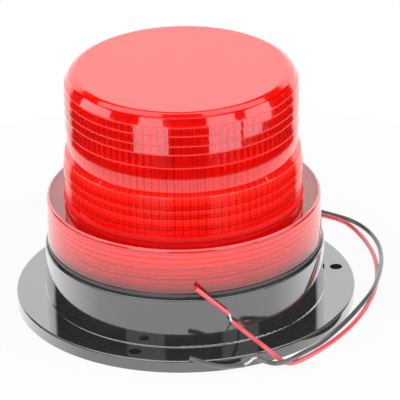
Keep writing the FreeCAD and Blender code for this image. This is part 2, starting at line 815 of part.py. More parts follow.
pieces = {
    "base_housing": base_housing(),
    "lens": lens(),
    "lens_gasket": lens_gasket(),
    "driver_board": driver_board(),
    "driver_board_screws": spread(board_screw, board_screw_places()),
    "deck_pillars": spread(deck_pillar, pillar_places()),
    "reflector_deck": reflector_deck(),
    "deck_screws": spread(deck_screw, pillar_places()),
    "tube_holder": tube_holder(),
    "flash_tube": flash_tube(),
    "tube_electrodes": spread(tube_electrode, leg_places()),
    "trigger_wire": trigger_wire(),
    "storage_capacitor": storage_capacitor(),
    "transformer_core": transformer_core(),
    "transformer_bobbin": transformer_bobbin(),
    "transformer_winding": transformer_winding(),
    "transistor_heat_sink": transistor_heat_sink(),
    "switching_transistor": switching_transistor(),
    "transistor_screw": transistor_screw(),
    "trigger_coil": trigger_coil(),
    "film_capacitors": spread(film_capacitor, film_places),
    "board_resistors": spread(resistor, resistor_places),
    "board_diodes": spread(diode, diode_places),
    "wire_grommet": wire_grommet(),
    "black_lead_inner": inner_lead(1),
    "red_lead_inner": inner_lead(-1),
    "black_lead": loose_lead("black_lead", 1, black_route),
    "red_lead": loose_lead("red_lead", -1, red_route),
    "black_lead_conductor": conductor(black_route, black_sleeve),
    "red_lead_conductor": conductor(red_route, red_sleeve),
    "black_lead_end_sleeve": end_sleeve(black_sleeve),
    "red_lead_end_sleeve": end_sleeve(red_sleeve),
}

os.makedirs("parts", exist_ok=True)
for node, shape in pieces.items():
    if not shape.isValid():
        raise ValueError(node + " is not a valid solid")
    shape.exportStep("parts/" + node + ".step")
    print(node, "solids", len(shape.Solids), "volume", round(shape.Volume, 1))
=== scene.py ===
"""Looks of the warning light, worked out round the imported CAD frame. Run as a script in Blender."""

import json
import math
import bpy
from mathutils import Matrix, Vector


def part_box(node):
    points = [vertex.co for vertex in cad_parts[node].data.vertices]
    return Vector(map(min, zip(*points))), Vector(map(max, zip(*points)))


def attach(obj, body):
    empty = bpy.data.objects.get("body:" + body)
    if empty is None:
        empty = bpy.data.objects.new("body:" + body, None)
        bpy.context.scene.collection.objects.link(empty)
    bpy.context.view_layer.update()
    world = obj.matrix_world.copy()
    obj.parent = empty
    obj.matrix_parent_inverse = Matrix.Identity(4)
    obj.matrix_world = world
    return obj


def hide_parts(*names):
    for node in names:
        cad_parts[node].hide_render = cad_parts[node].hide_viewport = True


bl_info = {
    "name": "Warning Light Looks",
    "version": (1, 0, 0),
    "blender": (4, 5, 0),
    "location": "3D View > Sidebar > Warning Light",
    "description": "Builds the red lens, the leads, the finishes and the studio of the warning light",
    "category": "Object",
}

import bmesh
import bpy
import numpy as np
from bpy.props import FloatProperty, FloatVectorProperty, IntProperty, PointerProperty
from mathutils import Matrix, Vector

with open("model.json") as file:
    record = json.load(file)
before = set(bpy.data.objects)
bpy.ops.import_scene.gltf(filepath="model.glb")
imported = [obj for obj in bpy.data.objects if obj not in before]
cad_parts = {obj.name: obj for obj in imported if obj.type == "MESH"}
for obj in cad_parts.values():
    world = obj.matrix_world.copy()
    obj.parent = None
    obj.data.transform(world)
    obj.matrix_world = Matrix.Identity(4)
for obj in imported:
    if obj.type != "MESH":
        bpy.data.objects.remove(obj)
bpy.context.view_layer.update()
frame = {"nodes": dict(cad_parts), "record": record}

MM = 0.001
FULL_TURN = 2 * math.pi

# Routes of the two leads and their pulled-off end sleeves, in millimetres, as in the part's source.
BLACK_ROUTE = [
    (25.343, 78.210, 1.35), (28.01, 85.95, 1.35), (34.0, 93.5, 1.3), (43.5, 97.8, 1.3),
    (56.0, 94.5, 1.3), (70.2, 84.8, 1.3), (83.4, 76.0, 1.3), (91.5, 63.8, 1.3),
    (95.8, 49.8, 1.3), (96.9, 35.3, 1.6), (96.2, 20.7, 3.3), (94.2, 6.3, 4.15),
    (91.0, -7.8, 4.2), (85.1, -21.2, 3.5), (77.9, -33.9, 1.7), (70.7, -46.6, 1.35),
    (63.8, -59.1, 2.0), (55.5, -71.0, 3.8), (49.1, -79.5, 4.3), (43.7, -83.2, 4.3),
    (38.1, -83.4, 4.9), (33.3, -81.1, 6.5),
]
RED_ROUTE = [
    (28.180, 77.234, 1.35), (30.85, 84.98, 1.35), (36.7, 90.4, 1.3), (45.2, 93.6, 1.3),
    (55.3, 90.9, 1.3), (67.2, 83.1, 1.3), (78.4, 76.3, 1.3), (84.2, 67.0, 1.3),
    (89.2, 53.7, 1.3), (92.7, 39.5, 1.3), (94.1, 25.0, 1.3), (93.8, 10.5, 1.3),
    (91.8, -4.0, 1.3), (88.1, -18.0, 1.3), (83.1, -31.7, 1.3), (76.7, -44.8, 1.3),
    (68.9, -57.0, 1.3), (60.4, -67.8, 1.3), (52.4, -76.1, 1.3), (47.1, -78.7, 1.8),
    (42.4, -79.2, 5.5), (37.3, -75.9, 9.2), (29.6, -69.8, 12.8), (21.9, -66.4, 18.3),
]
BLACK_SLEEVE = [
    (26.8, -80.9, 2.8), (19.8, -81.9, 2.5), (13.2, -83.1, 3.8), (6.9, -83.6, 6.3), (1.5, -81.9, 7.65),
]
RED_SLEEVE = [(20.0, -66.7, 23.0), (12.4, -68.0, 30.3), (4.8, -68.9, 37.6)]

# Points round the lens and along a rounded corner, the straight millimetres kept beside such a corner, and
# the angle past which an edge of the lens is sharp.
LENS_COLUMNS = 384
ROUND_STEPS = 6
FLAT_SUPPORT = 0.12
LENS_SHARP = math.radians(22)

# Heights and radii of the lens in millimetres. The main ones are those of the part's source; steps,
# roundings, the ledge and the foot of the waist are finer here.
COLLAR_FOOT, COLLAR_TOP = 33.9, 56.0
COLLAR_FOOT_RADIUS, COLLAR_TOP_RADIUS, COLLAR_BORE = 66.4, 66.0, 63.5
COLLAR_ROUND = 1.2
RING_UNDER = 53.4
DOME_FOOT_RADIUS, LEDGE_RADIUS = 57.0, 57.2
DOME_FOOT_ROUND = 0.2
LOWER_LINES = (56.0, 62.0, 67.8, 72.5, 78.5)
WAIST_FOOT, WAIST_TOP = 80.65, 93.65
WAIST_FOOT_RADIUS, WAIST_TOP_RADIUS = 54.8, 55.7
WAIST_BULGE = 0.5
UPPER_LINES = (93.65, 100.45, 105.0, 110.1, 114.45)
UPPER_TOP_RADIUS = 56.0
LOWER_FOOT_ROUND, UPPER_FOOT_ROUND = 0.3, 0.5
UNDERCUT = 0.3
LOWER_STEP, UPPER_STEP = 0.8, 0.8
FIRST_UPPER_LEAN, UPPER_LEAN_GAIN = math.radians(9.0), math.radians(1.2)
BEVEL_FOOT_LIP, BEVEL_ROUND = 0.25, 1.9
BEVEL_TOP, BEVEL_TOP_RADIUS = 118.65, 53.6
LENS_TOP, FLAT_RADIUS, RIM_ROUND = 120.3, 50.9, 4.0
CAP_UNDER, CAP_ROUND = 117.7, 1.3
FLUTE_ROOT = 53.6
DOME_WALL, COLLAR_WALL = 54.2, 64.5
FLUTE_FOOT, FLUTE_TOP = 57.7, 114.45
THREAD_START, THREAD_END = 36.1, 52.5
THREAD_RIDGE, THREAD_HALF_ROOT, THREAD_HALF_CREST = 1.2, 0.6, 0.25
THREAD_LOW = 34.2
THREAD_RUN_OUT = 0.3
THREAD_SHOWN = 52.15

# Lengths of the insulation in metres, the bare strands (twist in turns per metre, depth as a share of
# the radius) and the end sleeves (bore radius in millimetres).
BLACK_LENGTH, RED_LENGTH = 0.2616, 0.2681
STRAND_COUNT, STRAND_COLUMNS, STRAND_DEPTH, STRAND_TWIST = 7, 42, 0.22, 90.0
STRAND_STRAIGHT, STRAND_GRIP = 1.6, 3.0
SLEEVE_COLUMNS, SLEEVE_BORE = 24, 0.8
STRAND_SHARP, SLEEVE_SHARP = math.radians(60), math.radians(40)
CURVE_STEPS, CURVE_ROUND_STEPS, CURVE_ORDER = 8, 4, 3

# Where the painted light and shade of the lens change, in millimetres: the collar's painted bright edge and
# the painted shade under it, the flat ring with its painted shade, the dull foot of the dome, the painted
# thread stripes that fade downwards, and the painted bright lines between the bands.
EDGE_LOW, RING_LOW, RING_HIGH = COLLAR_TOP - 0.5, RING_UNDER - 0.1, COLLAR_TOP + 0.3
EDGE_SHADE, EDGE_SHADE_REACH = COLLAR_TOP - 0.9, 0.5
DULL_LOW, DULL_FADE, DULL_HIGH = COLLAR_TOP + 0.02, COLLAR_TOP + 1.3, COLLAR_TOP + 2.8
FLUTES_LOW, DOME_GLOW_LOW = COLLAR_TOP + 1.0, COLLAR_TOP + 0.5
COLLAR_MIDDLE, THREAD_FADE, THREAD_FULL = 45.0, 37.0, 47.0
LINE_REACH = 1.1
BAND_FOOT_RISE, BAND_FOOT_REACH = 0.25, 0.55

# How strongly they show: painted glow, painted highlights, and painted shade in the tint and the glow.
# Painted glow has a number for red, green and blue.
THREAD_FAINT, THREAD_STRIPE, PAINTED_THREAD_SHEEN = 0.15, 0.8, 0.07
FLUTE_SHIFT, FLUTE_LEVEL, FLUTE_NARROW, FLUTE_FINE = 0.15, 0.5, 0.4, 0.5
PAINTED_FLUTE_SHADE, LINE_CALM = 0.2, 0.7
PAINTED_FOOT_SHADOW, FOOT_SHADE, PAINTED_EDGE_SHADE = 0.9, 0.7, 0.7
PAINTED_RING_SHADE_NEAR, PAINTED_RING_SHADE_FAR, RING_GLOW = 0.6, 0.9, 0.15
INSIDE_GLOW, PAINTED_SHADE_TINT = 0.2, 0.2
GLOW_GAIN, GLOW_STRIPE = (1.35, 1.6, 1.3), (1.0, 1.6, 1.3)
PAINTED_LINE_HIGHLIGHT, PAINTED_EDGE_HIGHLIGHT = (0.55, 0.03, 0.025), (1.0, 0.35, 0.35)
GREEN_IN_RED, BLUE_IN_PALE = 0.004, 0.7
COAT, COAT_STRIPE, COAT_WAIST, COAT_LOWER = 0.95, 0.25, 0.33, 0.6

# Gloss of the base that grows with the slant of the view, and its specks of dust.
POLISH, POLISH_FROM, POLISH_GREY, POLISH_ROUGHNESS = 0.95, 0.3, 0.95, 0.04
SPECK_SCALE, SPECK_SIZE, SPECK_PICK = 95.0, 0.022, 0.8
GRAIN_DEPTH, FINE_GRAIN_DEPTH = 0.2 * MM, 0.1 * MM

# The studio: what the camera looks at, in millimetres, and the table's rows as shares of its radius and
# heights in metres, with its share of plain white and its grey as a matt surface.
CAMERA_AIM, SENSOR_WIDTH = (7.755, 17.41, 42.17), 36.0
TABLE_ROWS = ((0.0, 0.0), (0.5, 0.0), (0.97, 0.0), (1.0, -0.004))
TABLE_COLUMNS, TABLE_WHITE, TABLE_GREY, FOOT_INSET = 96, 0.9, 0.92, 2.0

# The room as gloss sees it, by the parts of a direction of length 1. It is dim but for the wall behind the
# light and two bands overhead, one of them behind the light and one before it.
DIM_ROOM = 0.02
WALL_FROM, WALL_SOFT, WALL_TOP = 0.62, 0.1, 0.56
WALL_LOW, WALL_LOW_FURTHER = -0.35, 0.06
REAR_LOW, REAR_LOW_DROP, REAR_HIGH = 0.88, 0.3, 0.985
REAR_SLOPE, REAR_FROM = 0.28, 0.03
FRONT_LOW, FRONT_HIGH, FRONT_FROM = 0.743, 0.92, -0.35

# Lamps: name, angle from the camera and tilt in degrees, width, foot and top in metres, and level.
LAMPS = (
    ("front_left", -29.2, 0, 0.88, -0.06, 1.3, 1.6),
    ("front_right", 40.4, 0, 0.84, -0.08, 1.3, 1.6),
    ("side_left", -91, 0, 1.16, 0.36, 0.9, 1.6),
    ("side_right", 77, 0, 1.0, -0.05, 0.98, 1.6),
    ("edge_left", -100, 40, 1.6, 0.02, 0.32, 1.0),
    ("edge_front_left", -35, 40, 1.6, 0.02, 0.32, 1.0),
    ("edge_front_right", 35, 40, 1.6, 0.02, 0.32, 1.0),
    ("edge_right", 100, 40, 1.6, 0.02, 0.32, 1.0),
    ("base_left", -33.5, 0, 0.86, -0.06, 1.3, 0.45),
    ("base_right", 44.4, 0, 0.84, -0.08, 1.3, 0.45),
    ("base_over", 0, 77, 2.6, -0.95, 0.95, 1.6),
)
BASE_LAMPS = ("edge", "base")
MIRRORED_LAMP = "base_over"
LAMP_DISTANCE = 1.5
LAMP_COLOUR = (0.93, 0.93, 1.0)


class LensSettings(bpy.types.PropertyGroup):
    """Colour and fine shapes of the red lens that a user may change."""

    tint: FloatVectorProperty(
        name="Tint", description="Colour of light after one wall of the lens",
        subtype="COLOR", size=3, min=0, max=1, default=(1.0, 0.009, 0.003))
    flute_count: IntProperty(
        name="Flutes", description="Upright flutes inside the dome", default=96, min=12, max=200)
    flute_depth: FloatProperty(
        name="Flute depth", description="Depth of a flute", default=0.8 * MM, unit="LENGTH")
    lower_lean: FloatProperty(
        name="Lower lean", description="How far the face of a lower band leans in",
        default=math.radians(10.0), subtype="ANGLE")
    upper_lean: FloatProperty(
        name="Upper lean", description="How far the face of an upper band leans in",
        default=math.radians(11.0), subtype="ANGLE")
    thread_pitch: FloatProperty(
        name="Thread pitch", description="Rise of the collar's thread in one turn",
        default=2.6 * MM, unit="LENGTH")


class LeadSettings(bpy.types.PropertyGroup):
    """Sizes and colours of the loose leads that a user may change."""

    diameter: FloatProperty(
        name="Lead diameter", description="Outside of the insulation", default=2.3 * MM, unit="LENGTH")
    strand_diameter: FloatProperty(
        name="Conductor diameter", description="Outside of the bare strands", default=1.2 * MM, unit="LENGTH")
    red: FloatVectorProperty(
        name="Red insulation", description="Colour of the red lead", subtype="COLOR", size=3,
        min=0, max=1, default=(0.95, 0.075, 0.1))
    black: FloatVectorProperty(
        name="Black insulation", description="Colour of the black lead", subtype="COLOR", size=3,
        min=0, max=1, default=(0.1, 0.1, 0.101))


class BaseSettings(bpy.types.PropertyGroup):
    """Colours of the base and its gasket that a user may change."""

    housing: FloatVectorProperty(
        name="Housing", description="Colour of the black moulding", subtype="COLOR", size=3,
        min=0, max=1, default=(0.032, 0.032, 0.033))
    gasket: FloatVectorProperty(
        name="Gasket", description="Colour of the rubber ring", subtype="COLOR", size=3,
        min=0, max=1, default=(0.03, 0.03, 0.031))


class StageSettings(bpy.types.PropertyGroup):
    """Camera, table and room of the studio."""

    elevation: FloatProperty(
        name="Camera elevation", description="Height of the view above the horizon",
        default=0.4482, subtype="ANGLE")
    roll: FloatProperty(
        name="Camera roll", description="Turn of the camera about its view", default=0.0205, subtype="ANGLE")
    distance: FloatProperty(
        name="Camera distance", description="From the camera to its aim", default=2.16543, unit="LENGTH")
    focal: FloatProperty(
        name="Focal length", description="Focal length in millimetres for a 36 mm sensor", default=400.28)
    table_radius: FloatProperty(
        name="Table radius", description="Radius of the round white table", default=0.23, unit="LENGTH")
    room_light: FloatProperty(
        name="Room light", description="Level of the white room on matt surfaces", default=0.8, min=0, max=2)


class Wire:
    """A node's output socket with the operators that shader maths needs."""

    def __init__(self, tree, socket):
        self.tree = tree
        self.socket = socket

    def maths(self, operation, first, second):
        """Adds a Math node on two numbers or links."""
        return self.tree.node("ShaderNodeMath", {"operation": operation}, {0: first, 1: second})

    def __add__(self, other):
        return self.maths("ADD", self, other)

    def __radd__(self, other):
        return self.maths("ADD", other, self)

    def __sub__(self, other):
        return self.maths("SUBTRACT", self, other)

    def __rsub__(self, other):
        return self.maths("SUBTRACT", other, self)

    def __mul__(self, other):
        return self.maths("MULTIPLY", self, other)

    def __rmul__(self, other):
        return self.maths("MULTIPLY", other, self)

    def __truediv__(self, other):
        return self.maths("DIVIDE", self, other)

    def __gt__(self, other):
        return self.maths("GREATER_THAN", self, other)

    def __lt__(self, other):
        return self.maths("LESS_THAN", self, other)

    def wave(self, half):
        """Goes evenly from 0 to 1 and back again, over half each way."""
        return self.maths("PINGPONG", self, half) * (1 / half)


class Tree:
    """A node tree that is filled one node at a time."""

    def __init__(self, nodes):
        self.nodes = nodes
        nodes.nodes.clear()

    def node(self, kind, settings=None, sockets=None, out=0):
        """Adds a node: its settings first, then the values or links of its sockets; gives one output."""
        made = self.nodes.nodes.new(kind)
        for name, value in (settings or {}).items():
            if name == "stops":
                self.set_stops(made.color_ramp, value)
            else:
                setattr(made, name, value)
        for name, value in (sockets or {}).items():
            if isinstance(value, Wire):
                self.nodes.links.new(value.socket, made.inputs[name])
            else:
                made.inputs[name].default_value = value
        return Wire(self, made.outputs[out]) if made.outputs else made

    def set_stops(self, ramp, stops):
        """Places the stops of a colour ramp, each a position and a colour."""
        while len(ramp.elements) < len(stops):
            ramp.elements.new(1.0)
        for element, (place, colour) in zip(ramp.elements, stops):
            element.position = place
            element.color = (*colour, 1.0)

    def split(self, kind, whole):
        """The three outputs of a node that takes a vector or a colour apart."""
        first = self.node(kind, {}, {0: whole})
        return [Wire(self, output) for output in first.socket.node.outputs]

    def place(self):
        """Object coordinates, which stay with the piece."""
        return self.node("ShaderNodeTexCoord", out="Object")

    def noise(self, scale, detail=2.0, vector=None):
        """Cloudy pattern from 0 to 1 on Object coordinates, scale in cycles per metre."""
        return self.node("ShaderNodeTexNoise", {}, {
            "Vector": vector or self.place(), "Scale": scale, "Detail": detail})

    def graded(self, value, low, high, at_low, at_high):
        """Goes evenly from at_low to at_high as value goes from low to high, and stays level beyond."""
        return self.node("ShaderNodeMapRange", {}, {
            "Value": value, "From Min": low, "From Max": high, "To Min": at_low, "To Max": at_high})

    def mixed(self, factor, first, second):
        """Colour that goes from first to second as factor goes from 0 to 1."""
        return self.node("ShaderNodeMix", {"data_type": "RGBA"}, {
            "Factor": factor, 6: opaque(first), 7: opaque(second)}, out=2)

    def bump(self, height, strength, distance):
        """Normal that follows a height pattern, distance being its depth in metres."""
        return self.node("ShaderNodeBump", {}, {
            "Height": height, "Strength": strength, "Distance": distance}, out="Normal")


def placed(name, data):
    """A new object in the scene, at the origin."""
    made = bpy.data.objects.new(name, data)
    bpy.context.scene.collection.objects.link(made)
    return made


def dress(node, material):
    """Gives a CAD node its finish."""
    frame["nodes"][node].data.materials[0] = material


def opaque(colour):
    """A colour with its fourth number, or a link as it is."""
    return colour if isinstance(colour, Wire) else (*tuple(colour)[:3], 1.0)


def scaled(colour, factor):
    """A colour made darker or paler by a factor, with no channel above 1."""
    return tuple(min(1.0, channel * factor) for channel in colour)


def principled(name, build, polish=0.0):
    """A material with one Principled shader; build gives its sockets from the tree. Polish adds a mirror
    gloss that grows with the slant of the view, from none at POLISH_FROM."""
    material = bpy.data.materials.new(name)
    material.use_nodes = True
    tree = Tree(material.node_tree)
    shader = tree.node("ShaderNodeBsdfPrincipled", {}, build(tree))
    if polish:
        slant = tree.node("ShaderNodeLayerWeight", {}, {"Blend": 0.5}, out="Facing")
        share = slant.maths("MAXIMUM", slant - POLISH_FROM, 0.0) * polish
        mirror = tree.node("ShaderNodeBsdfPrincipled", {}, {
            "Base Color": (POLISH_GREY, POLISH_GREY, POLISH_GREY, 1.0), "Metallic": 1.0,
            "Roughness": POLISH_ROUGHNESS})
        shader = tree.node("ShaderNodeMixShader", {}, {0: share, 1: shader, 2: mirror})
    tree.node("ShaderNodeOutputMaterial", {}, {"Surface": shader})
    return material


def grid_faces(rows, columns, helix_rows=(), helix_shift=0):
    """Quads of a grid whose last column joins its first. Rows that follow a helix join the row that is
    helix_shift further on, because one turn later the helix has risen by a pitch."""
    row, column = np.meshgrid(np.arange(rows - 1), np.arange(columns), indexing="ij")
    after = np.arange(rows)
    if helix_shift:
        turn = np.asarray(helix_rows)
        after[turn] = np.clip(turn + helix_shift, turn[0], turn[-1])
    seam = column == columns - 1
    next_column = (column + 1) % columns
    low = np.where(seam, after[row], row)
    high = np.where(seam, after[row + 1], row + 1)
    corners = [row * columns + column, low * columns + next_column,
               high * columns + next_column, (row + 1) * columns + column]
    return np.stack(corners, axis=-1).reshape(-1, 4)


def mesh_piece(name, points, faces, material, sharp_angle=None, merge=1e-6):
    """Object made of points and quads, with coincident points merged and faces turned outwards."""
    mesh = bpy.data.meshes.new(name)
    mesh.from_pydata(points.reshape(-1, 3), [], faces)
    shape = bmesh.new()
    shape.from_mesh(mesh)
    bmesh.ops.remove_doubles(shape, verts=shape.verts, dist=merge)
    bmesh.ops.dissolve_degenerate(shape, edges=shape.edges, dist=merge)
    bmesh.ops.recalc_face_normals(shape, faces=shape.faces)
    shape.to_mesh(mesh)
    shape.free()
    mesh.shade_smooth()
    if sharp_angle:
        mesh.set_sharp_from_angle(angle=sharp_angle)
    mesh.materials.append(material)
    return placed(name, mesh)


def turned_points(radius, height, columns):
    """Surface of revolution: x = r cos t, y = r sin t, z = h, where t goes once round in equal steps.
    Radius and height are a column of profile points or whole rows by columns arrays."""
    turn = np.linspace(0, FULL_TURN, columns, endpoint=False)
    radius = np.broadcast_to(radius, (radius.shape[0], columns))
    height = np.broadcast_to(height, (height.shape[0], columns))
    return np.stack([radius * np.cos(turn), radius * np.sin(turn), height], axis=-1)


def unit(vectors):
    """A vector, or each row of an array of them, brought to length 1."""
    return vectors / np.linalg.norm(vectors, axis=-1, keepdims=True)


def arc(start, middle, end, steps):
    """Points on the circle through three points, from start to end in equal steps of the angle. The circle's
    centre is where the perpendicular bisectors meet."""
    a, b, c = (np.array(point, float) for point in (start, middle, end))
    system = 2 * np.array([b - a, c - a])
    centre = np.linalg.solve(system, np.array([b @ b - a @ a, c @ c - a @ a]))
    angles = [math.atan2(*(point - centre)[::-1]) for point in (a, b, c)]
    angles = np.unwrap(angles)
    sweep = np.linspace(angles[0], angles[2], steps)
    size = np.linalg.norm(a - centre)
    return centre + size * np.stack([np.cos(sweep), np.sin(sweep)], axis=-1)


def bowed(start, end, height, steps):
    """Arc from start to end that stands out sideways by height, to the right of the way it goes."""
    a, b = np.array(start, float), np.array(end, float)
    way = unit(b - a)
    outwards = np.array([way[1], -way[0]])
    return arc(a, (a + b) / 2 + outwards * height, b, steps)


def fillet(before, corner, after, radius, steps):
    """Corner of an outline rounded by a tangent arc of the given radius, with one more point on the straight
    line at either end, so that the shading of the flat faces stays flat."""
    before, corner, after = (np.array(point, float) for point in (before, corner, after))
    come, leave = unit(before - corner), unit(after - corner)
    half = math.acos(np.clip(come @ leave, -1, 1)) / 2
    cut = radius / math.tan(half)
    middle = corner + unit(come + leave) * (radius / math.sin(half) - radius)
    rounded = arc(corner + come * cut, middle, corner + leave * cut, steps)
    beyond = cut + FLAT_SUPPORT
    return np.concatenate([[corner + come * beyond], rounded, [corner + leave * beyond]])


def band_points(foot, top, radius, lean, step_below, foot_round):
    """One band of the dome: its rounded foot stands out over the band below, and its face leans in by the
    angle lean, so that its middle has the given radius."""
    step = (top - UNDERCUT - foot) * math.tan(lean)
    below = (radius + step / 2 - step_below, foot - UNDERCUT)
    start = (radius + step / 2, foot)
    end = (radius - step / 2, top - UNDERCUT)
    return np.concatenate([fillet(below, start, end, foot_round, ROUND_STEPS)[1:], [end]])


def lens_outside(lower_lean, upper_lean):
    """Outer outline of the lens from the collar's foot up to the middle of its flat top: straight lines with
    rounded corners, a leaning face for each band, and a waist that is the arc of a circle."""
    collar_foot = (COLLAR_FOOT_RADIUS, COLLAR_FOOT)
    collar_edge = (COLLAR_TOP_RADIUS, COLLAR_TOP)
    first_top = LOWER_LINES[1] - UNDERCUT
    first_step = (first_top - COLLAR_TOP) * math.tan(lower_lean)
    dome_corner = (DOME_FOOT_RADIUS + first_step / 2, COLLAR_TOP)
    dome_line = (DOME_FOOT_RADIUS - first_step / 2, first_top)
    parts = [[collar_foot],
             fillet(collar_foot, collar_edge, dome_corner, COLLAR_ROUND, ROUND_STEPS),
             fillet(collar_edge, dome_corner, dome_line, DOME_FOOT_ROUND, ROUND_STEPS), [dome_line]]
    for foot, top in zip(LOWER_LINES[1:], LOWER_LINES[2:]):
        share = (foot - LOWER_LINES[0]) / (LOWER_LINES[-1] - LOWER_LINES[0])
        radius = DOME_FOOT_RADIUS + share * (LEDGE_RADIUS - DOME_FOOT_RADIUS)
        parts.append(band_points(foot, top, radius, lower_lean, LOWER_STEP, LOWER_FOOT_ROUND))
    last_top = parts[-1][-1]
    ledge, waist_foot = (LEDGE_RADIUS, LOWER_LINES[-1]), (WAIST_FOOT_RADIUS, WAIST_FOOT)
    parts.append(fillet(last_top, ledge, waist_foot, UPPER_FOOT_ROUND, ROUND_STEPS)[1:])
    waist_top = (WAIST_TOP_RADIUS - UPPER_STEP / 2, WAIST_TOP - UNDERCUT)
    parts.append(bowed(waist_foot, waist_top, WAIST_BULGE, 3 * ROUND_STEPS))
    for number, (foot, top) in enumerate(zip(UPPER_LINES, UPPER_LINES[1:])):
        share = (foot - UPPER_LINES[0]) / (UPPER_LINES[-1] - UPPER_LINES[0])
        radius = WAIST_TOP_RADIUS + share * (UPPER_TOP_RADIUS - WAIST_TOP_RADIUS)
        lean = upper_lean + (number - 1) * UPPER_LEAN_GAIN if number else FIRST_UPPER_LEAN
        parts.append(band_points(foot, top, radius, lean, UPPER_STEP, UPPER_FOOT_ROUND))
    bevel_foot = (UPPER_TOP_RADIUS + BEVEL_FOOT_LIP, UPPER_LINES[-1])
    bevel_top = (BEVEL_TOP_RADIUS, BEVEL_TOP)
    flat_edge = (FLAT_RADIUS, LENS_TOP)
    below = (UPPER_TOP_RADIUS - UPPER_STEP / 2, UPPER_LINES[-1] - UNDERCUT)
    parts += [fillet(below, bevel_foot, bevel_top, UPPER_FOOT_ROUND, ROUND_STEPS)[1:],
              fillet(bevel_foot, bevel_top, flat_edge, BEVEL_ROUND, ROUND_STEPS),
              fillet(bevel_top, flat_edge, (0, LENS_TOP), RIM_ROUND, 2 * ROUND_STEPS),
              [(FLAT_RADIUS / 2, LENS_TOP), (0, LENS_TOP)]]
    return np.concatenate([np.asarray(part, float) for part in parts])


def lens_grid(settings):
    """Rows by columns of radius and height, from the middle under the cap, down the flutes and the
    collar's thread, round the collar's foot and up the outside to the middle of the top. The flutes are a
    triangle wave round the dome, and the thread's rows rise by a pitch in one turn."""
    turn = np.linspace(0, 1, LENS_COLUMNS, endpoint=False)
    depth = settings.flute_depth / MM
    pitch = settings.thread_pitch / MM
    wave = np.abs(((turn * settings.flute_count) % 1) * 2 - 1)
    fluted = FLUTE_ROOT - depth * wave
    crest = FLUTE_ROOT - depth
    cap = fillet((0, CAP_UNDER), (crest, CAP_UNDER), (crest, FLUTE_TOP), CAP_ROUND, ROUND_STEPS)
    rows = [(0.0, CAP_UNDER), (FLAT_RADIUS / 2, CAP_UNDER), *cap, (crest, FLUTE_TOP), (fluted, FLUTE_TOP),
            (fluted, FLUTE_FOOT), (crest, FLUTE_FOOT), (crest, RING_UNDER), (COLLAR_BORE, RING_UNDER)]
    helix_start = len(rows)
    offsets = (THREAD_HALF_ROOT, THREAD_HALF_CREST, -THREAD_HALF_CREST, -THREAD_HALF_ROOT)
    turns = int((RING_UNDER - THREAD_START) / pitch) + 1
    for number in range(turns, -2, -1):
        centre = THREAD_START + pitch * (number + turn)
        inside = np.clip((centre - THREAD_START) / THREAD_RUN_OUT, 0, 1)
        inside = inside * np.clip((THREAD_END - centre) / THREAD_RUN_OUT, 0, 1)
        for offset in offsets:
            ridge = THREAD_RIDGE if abs(offset) == THREAD_HALF_CREST else 0.0
            height = np.clip(centre + offset, THREAD_LOW, RING_UNDER)
            free = (height > THREAD_LOW) & (height < RING_UNDER)
            radius = np.where(free, COLLAR_BORE - ridge * inside, COLLAR_BORE)
            rows.append((radius, height))
    helix_rows = np.arange(helix_start, len(rows))
    rows += [(COLLAR_BORE, THREAD_LOW), (COLLAR_BORE, COLLAR_FOOT)]
    rows += [tuple(point) for point in lens_outside(settings.lower_lean, settings.upper_lean)]
    radius = np.stack([np.broadcast_to(row[0], LENS_COLUMNS) for row in rows])
    height = np.stack([np.broadcast_to(row[1], LENS_COLUMNS) for row in rows])
    return radius * MM, height * MM, helix_rows, -len(offsets)


def nurbs_curve(name, points, bevel):
    """Curve of one open NURBS spline with the points, in millimetres, as its control points."""
    data = bpy.data.curves.new(name, "CURVE")
    data.dimensions = "3D"
    data.resolution_u = CURVE_STEPS
    data.bevel_depth = bevel
    data.bevel_resolution = CURVE_ROUND_STEPS
    data.use_fill_caps = True
    spline = data.splines.new("NURBS")
    spline.points.add(len(points) - 1)
    control = np.ones((len(points), 4))
    control[:, :3] = np.asarray(points) * MM
    spline.points.foreach_set("co", control.ravel())
    spline.order_u = CURVE_ORDER
    spline.use_endpoint_u = True
    return placed(name, data)


def spline_points(points):
    """Points along the NURBS spline of a route, read from a curve without a bevel."""
    curve = nurbs_curve("route", points, 0.0)
    bpy.context.view_layer.update()
    mesh = bpy.data.meshes.new_from_object(curve)
    line = np.empty(len(mesh.vertices) * 3)
    mesh.vertices.foreach_get("co", line)
    data = curve.data
    bpy.data.objects.remove(curve)
    bpy.data.curves.remove(data)
    bpy.data.meshes.remove(mesh)
    return line.reshape(-1, 3)


def carried_profile(line, radius, columns, twist=0.0):
    """Rings carried along a line: point = line + r (cos a * side + sin a * up), where side and up are square
    to the line's direction, and a turns by twist, in turns per metre, as the ring goes along."""
    way = unit(np.gradient(line, axis=0))
    side = unit(np.cross(way, (0, 0, 1)))
    up = np.cross(side, way)
    run = np.concatenate([[0], np.cumsum(np.linalg.norm(np.diff(line, axis=0), axis=1))])
    angle = np.linspace(0, FULL_TURN, columns, endpoint=False)[None, :] + FULL_TURN * twist * run[:, None]
    ring = np.cos(angle)[..., None] * side[:, None] + np.sin(angle)[..., None] * up[:, None]
    return line[:, None] + radius[..., None] * ring


def strand_bundle(name, line, radius, material):
    """Twisted strands: a lobed profile, r (1 - depth + depth |cos(n a / 2)|), carried along the line."""
    angle = np.linspace(0, FULL_TURN, STRAND_COLUMNS, endpoint=False)
    lobes = 1 - STRAND_DEPTH + STRAND_DEPTH * np.abs(np.cos(STRAND_COUNT * angle / 2))
    size = np.broadcast_to(radius * lobes, (len(line), STRAND_COLUMNS))
    body = carried_profile(line, size, STRAND_COLUMNS, STRAND_TWIST)
    ends = [np.broadcast_to(line[index], (1, STRAND_COLUMNS, 3)) for index in (0, -1)]
    points = np.concatenate([ends[0], body, ends[1]])
    return mesh_piece(name, points, grid_faces(len(points), STRAND_COLUMNS), material, STRAND_SHARP)


